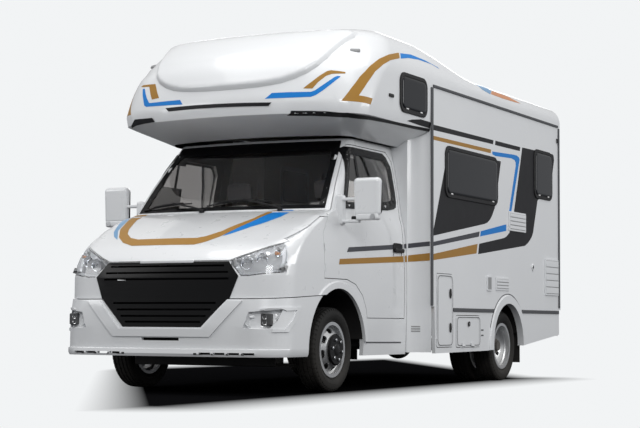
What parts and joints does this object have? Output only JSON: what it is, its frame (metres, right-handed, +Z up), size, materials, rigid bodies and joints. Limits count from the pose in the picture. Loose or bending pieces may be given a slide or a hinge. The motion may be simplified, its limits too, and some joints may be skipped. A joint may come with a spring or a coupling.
{
  "type": "overcab motorhome",
  "caption": "Motorhome with an overcab sleeping pod on a van chassis: steering front wheels, twin rear wheels, opening cab doors, bonnet, entrance door and side lockers.",
  "frame": {"origin": "on the ground under the centre of the bounding box", "axes": "+X forward, +Y to the vehicle's left, +Z up"},
  "size_m": [5.9898, 2.66, 3.085],
  "materials": {
    "white_paint": "gloss white two-pack paint on steel",
    "body_skin": "gloss white gel coat",
    "black_plastic": "grained black",
    "grey_plastic": "light grey",
    "gloss_black": "gloss black",
    "silver": "silver lacquer",
    "dark_steel": "black chassis paint",
    "tyre_rubber": "matt",
    "cast_iron": "cast",
    "exhaust_steel": "dull",
    "clear_glass": "clear",
    "dark_glass": "dark acrylic",
    "lamp_clear": "clear lens",
    "lamp_red": "red lens",
    "seat_fabric": "woven",
    "floor_wood": "plywood",
    "trim_aluminium": "satin"
  },
  "bodies": {
    "chassis": {"chassis_frame": "dark_steel", "front_suspension": "dark_steel", "rear_axle": "dark_steel", "engine_block": "cast_iron", "fuel_tank": "black_plastic", "exhaust": "exhaust_steel", "cab_shell": "white_paint", "windscreen": "clear_glass", "front_bumper": "white_paint", "grille": "gloss_black", "lamps": "lamp_clear", "dashboard": "grey_plastic", "steering_wheel": "black_plastic", "cab_seats": "seat_fabric", "coach_floor": "floor_wood", "left_side_wall": "body_skin", "right_side_wall": "body_skin", "side_skirts": "body_skin", "rear_wall": "body_skin", "roof_panel": "body_skin", "rear_arch_flares": "body_skin", "overcab_moulding": "body_skin", "overcab_base": "body_skin", "cab_surrounds": "body_skin", "coach_windows": "dark_glass", "roof_hatches": "grey_plastic", "arch_liners": "black_plastic", "body_trims": "trim_aluminium", "side_vents": "grey_plastic", "rear_bumper": "body_skin", "tail_lamps": "lamp_red"},
    "left_knuckle": {"knuckle_left": "dark_steel"},
    "right_knuckle": {"knuckle_right": "dark_steel"},
    "front_left_wheel": {"front_tyre_left": "tyre_rubber", "front_rim_left": "silver"},
    "front_right_wheel": {"front_tyre_right": "tyre_rubber", "front_rim_right": "silver"},
    "rear_left_wheels": {"rear_tyres_left": "tyre_rubber", "rear_rims_left": "silver"},
    "rear_right_wheels": {"rear_tyres_right": "tyre_rubber", "rear_rims_right": "silver"},
    "left_door": {"cab_door_left": "white_paint", "door_glass_left": "clear_glass", "mirror_left": "white_paint"},
    "right_door": {"cab_door_right": "white_paint", "door_glass_right": "clear_glass", "mirror_right": "white_paint"},
    "hood": {"bonnet": "white_paint"},
    "entrance": {"entrance_door": "body_skin"},
    "tall_locker": {"tall_locker_door": "body_skin"},
    "square_locker": {"square_locker_door": "body_skin"}
  },
  "joints": [
    {"name": "steer_left", "type": "hinge", "parent": "chassis", "child": "left_knuckle", "pos_m": [1.915, 0.745, 0.338], "axis": [0, 0, 1], "range_deg": [-35, 35]},
    {"name": "steer_right", "type": "hinge", "parent": "chassis", "child": "right_knuckle", "pos_m": [1.915, -0.745, 0.338], "axis": [0, 0, 1], "range_deg": [-35, 35]},
    {"name": "front_left_spin", "type": "hinge", "parent": "left_knuckle", "child": "front_left_wheel", "pos_m": [1.915, 0.868, 0.338], "axis": [0, 1, 0], "continuous": true},
    {"name": "front_right_spin", "type": "hinge", "parent": "right_knuckle", "child": "front_right_wheel", "pos_m": [1.915, -0.868, 0.338], "axis": [0, 1, 0], "continuous": true},
    {"name": "rear_left_spin", "type": "hinge", "parent": "chassis", "child": "rear_left_wheels", "pos_m": [-1.385, 0.9, 0.338], "axis": [0, 1, 0], "continuous": true},
    {"name": "rear_right_spin", "type": "hinge", "parent": "chassis", "child": "rear_right_wheels", "pos_m": [-1.385, -0.9, 0.338], "axis": [0, 1, 0], "continuous": true},
    {"name": "left_door_hinge", "type": "hinge", "parent": "chassis", "child": "left_door", "pos_m": [2.143, 0.996, 1.07], "axis": [0, 0, -1], "range_deg": [0, 70]},
    {"name": "right_door_hinge", "type": "hinge", "parent": "chassis", "child": "right_door", "pos_m": [2.143, -0.996, 1.07], "axis": [0, 0, 1], "range_deg": [0, 70]},
    {"name": "hood_hinge", "type": "hinge", "parent": "chassis", "child": "hood", "pos_m": [2.058, 0, 1.436], "axis": [0, -1, 0], "range_deg": [0, 50]},
    {"name": "entrance_hinge", "type": "hinge", "parent": "chassis", "child": "entrance", "pos_m": [-0.032, -1.177, 1.3], "axis": [0, 0, 1], "range_deg": [0, 100]},
    {"name": "tall_locker_hinge", "type": "hinge", "parent": "chassis", "child": "tall_locker", "pos_m": [0.357, 1.177, 0.66], "axis": [0, 0, -1], "range_deg": [0, 100]},
    {"name": "square_locker_hinge", "type": "hinge", "parent": "chassis", "child": "square_locker", "pos_m": [-0.37, 1.177, 0.342], "axis": [-1, 0, 0], "range_deg": [0, 90]}
  ],
  "couplings": [
    {"joint": "steer_right", "follows": "steer_left", "ratio": 1}
  ]
}
